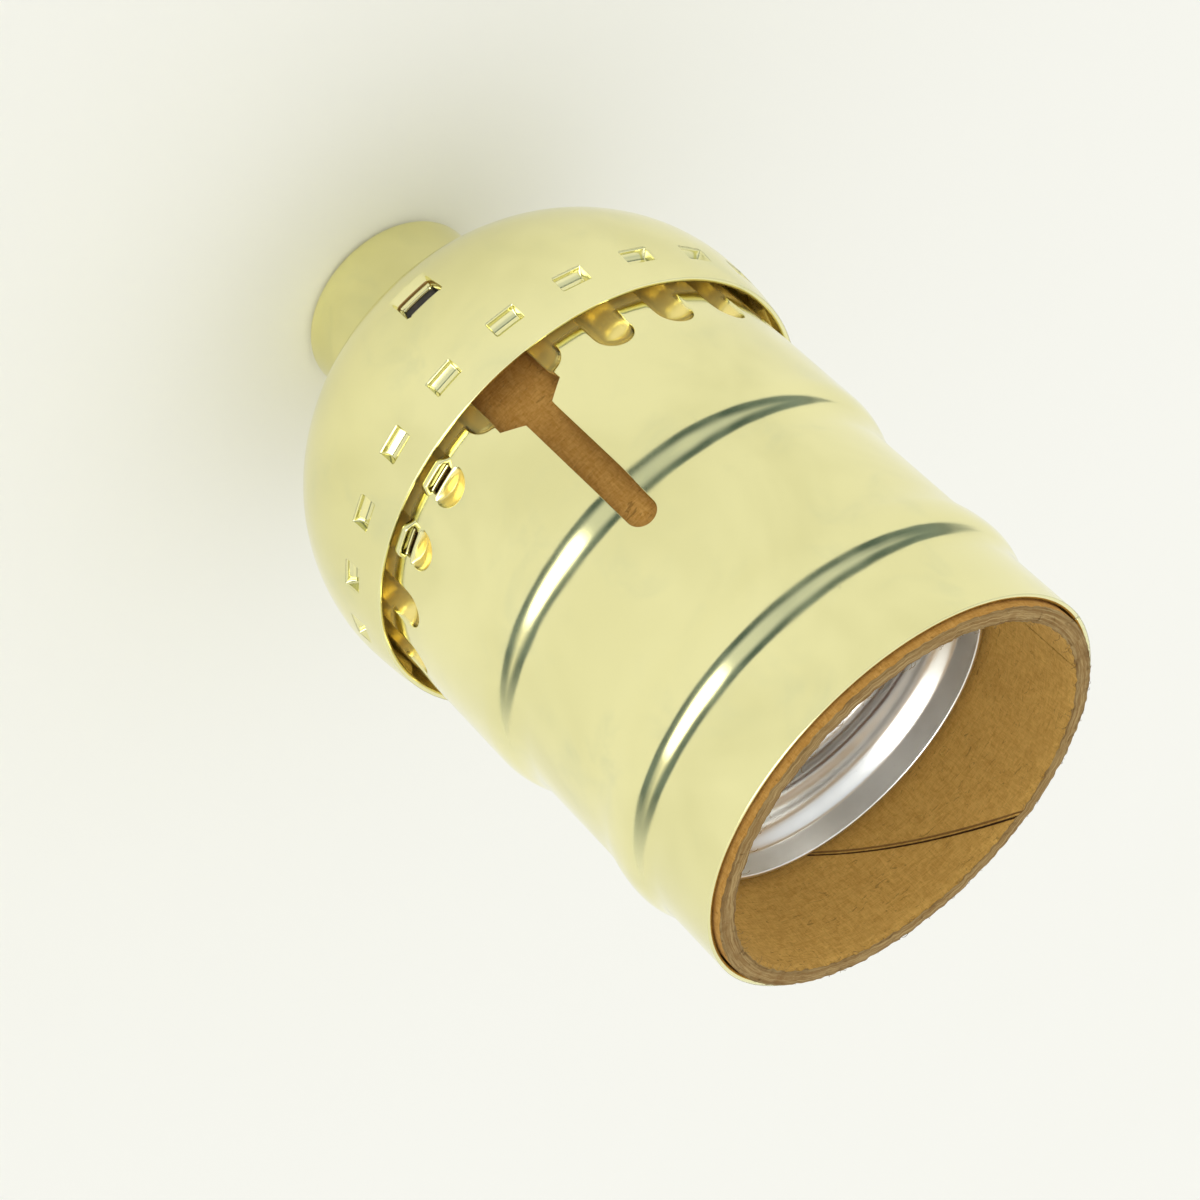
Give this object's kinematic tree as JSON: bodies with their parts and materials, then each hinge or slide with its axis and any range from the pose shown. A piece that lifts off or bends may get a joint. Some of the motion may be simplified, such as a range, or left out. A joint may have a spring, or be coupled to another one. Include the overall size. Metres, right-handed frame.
{
  "type": "keyless lamp socket",
  "caption": "Keyless lamp socket: a snap-together brass shell and cap over a screw shell for a medium lamp base, with a fibre tube liner and a threaded neck.",
  "frame": {"origin": "centre of the neck's end face, the flat that the socket stands on", "axes": "+Z along the lamp's axis, out of the mouth; -Y towards the slot in the shell"},
  "size_m": [0.039, 0.039, 0.0626],
  "materials": {
    "brass_plate": "polished",
    "brass": "satin",
    "fibre": "matt",
    "aluminium": "satin",
    "phenolic": "satin",
    "zinc": "satin",
    "steel": "satin"
  },
  "bodies": {
    "cap_and_core": {"cap": "brass_plate", "cap_liner": "fibre", "neck_bushing": "zinc", "neck_set_screw": "steel", "core_base": "phenolic", "screw_shell": "aluminium", "inner_insulator": "phenolic", "centre_contact": "brass", "hot_terminal": "brass", "neutral_terminal": "brass", "hot_screw": "brass", "neutral_screw": "steel", "contact_rivet": "brass", "neutral_rivet": "brass", "shell_rivet_front": "brass", "shell_rivet_rear": "brass"},
    "shell": {"outer_shell": "brass_plate", "shell_liner": "fibre"}
  },
  "joints": [
    {"name": "shell_pull", "type": "slide", "parent": "cap_and_core", "child": "shell", "axis": [0, 0, 1], "range_m": [0, 0.04]}
  ]
}
